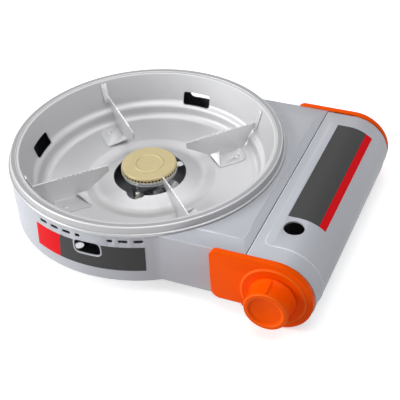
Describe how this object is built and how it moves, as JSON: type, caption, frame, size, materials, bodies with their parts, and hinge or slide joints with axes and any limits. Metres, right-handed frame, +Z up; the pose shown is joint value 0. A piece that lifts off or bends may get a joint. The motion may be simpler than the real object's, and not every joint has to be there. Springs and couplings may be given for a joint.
{
  "type": "portable gas stove",
  "caption": "Portable butane stove: round wind-shielded bowl with serrated pan supports over a brass burner, and a hinged lid over the gas cartridge bay beside it.",
  "frame": {"origin": "centre of the overall box, on the table that the feet stand on", "axes": "+X from the burner to the cartridge bay, +Y to the back, +Z up; the knob faces -Y"},
  "size_m": [0.3676, 0.2952, 0.0851],
  "materials": {
    "casing_paint": "satin light grey paint",
    "ring_metal": "satin silver-grey coating",
    "bowl_metal": "satin coated steel",
    "support_metal": "nickel-plated sheet, worn on the teeth",
    "zinc_sheet": "zinc-plated sheet",
    "screw_steel": "zinc-plated",
    "brass": "satin brass",
    "jet_brass": "turned brass",
    "head_aluminium": "cast aluminium",
    "pipe_copper": "drawn copper pipe",
    "ceramic": "glazed white ceramic",
    "lead_black": "silicone-sleeved lead",
    "orange_plastic": "semi-gloss orange plastic",
    "black_plastic": "moulded housing",
    "foot_rubber": "matt rubber",
    "seal_rubber": "nitrile rubber",
    "magnet": "sintered magnet",
    "regulator_cast": "die-cast, as cast",
    "drum_print": "charcoal printed label with a red end",
    "lid_print": "charcoal printed label with a red edge"
  },
  "bodies": {
    "stove": {"casing": "casing_paint", "base_plate": "zinc_sheet", "base_screws": "screw_steel", "feet": "foot_rubber", "foot_screws": "screw_steel", "wind_ring": "ring_metal", "burner_cap": "brass", "burner_head": "head_aluminium", "mixing_tube": "zinc_sheet", "burner_bracket": "zinc_sheet", "bracket_screws": "screw_steel", "gas_jet": "jet_brass", "jet_bracket": "zinc_sheet", "gas_pipe": "pipe_copper", "electrode_ceramic": "ceramic", "electrode_pin": "screw_steel", "electrode_bracket": "zinc_sheet", "ignition_lead": "lead_black", "heat_strip": "head_aluminium", "partition": "zinc_sheet", "front_plate": "zinc_sheet", "rear_plate": "zinc_sheet", "plate_screws": "screw_steel", "cradle": "zinc_sheet", "regulator_body": "regulator_cast", "regulator_dome": "regulator_cast", "regulator_screws": "screw_steel", "spindle_gland": "jet_brass", "magnet_yoke": "zinc_sheet", "lock_magnets": "magnet", "cartridge_socket": "jet_brass", "socket_seal": "seal_rubber", "piezo_igniter": "black_plastic", "front_cover": "orange_plastic", "rear_cover": "orange_plastic", "cover_screws": "screw_steel", "hinge_rod": "screw_steel", "drum_label": "drum_print"},
    "lid": {"lid": "casing_paint", "lid_label": "lid_print"},
    "bowl": {"bowl": "bowl_metal", "support_back_right": "support_metal", "support_back_left": "support_metal", "support_front_left": "support_metal", "support_front_right": "support_metal", "support_rivets": "screw_steel"},
    "knob": {"knob": "orange_plastic", "knob_spindle": "screw_steel"},
    "valve_pin": {"valve_pin": "screw_steel"}
  },
  "joints": [
    {"name": "lid_hinge", "type": "hinge", "parent": "stove", "child": "lid", "pos_m": [0.1184, 0.004, 0.0731], "axis": [0, -1, 0], "range_deg": [0, 95]},
    {"name": "bowl_lift", "type": "slide", "parent": "stove", "child": "bowl", "axis": [0, 0, 1], "range_m": [0, 0.08]},
    {"name": "knob_turn", "type": "hinge", "parent": "stove", "child": "knob", "pos_m": [0.1446, -0.136, 0.0389], "axis": [0, -1, 0], "range_deg": [0, 100]},
    {"name": "valve_push", "type": "slide", "parent": "stove", "child": "valve_pin", "axis": [0, 1, 0], "range_m": [0, 0.0015]}
  ],
  "couplings": [
    {"joint": "valve_push", "follows": "knob_turn", "m_per_rad": 0.000859}
  ]
}
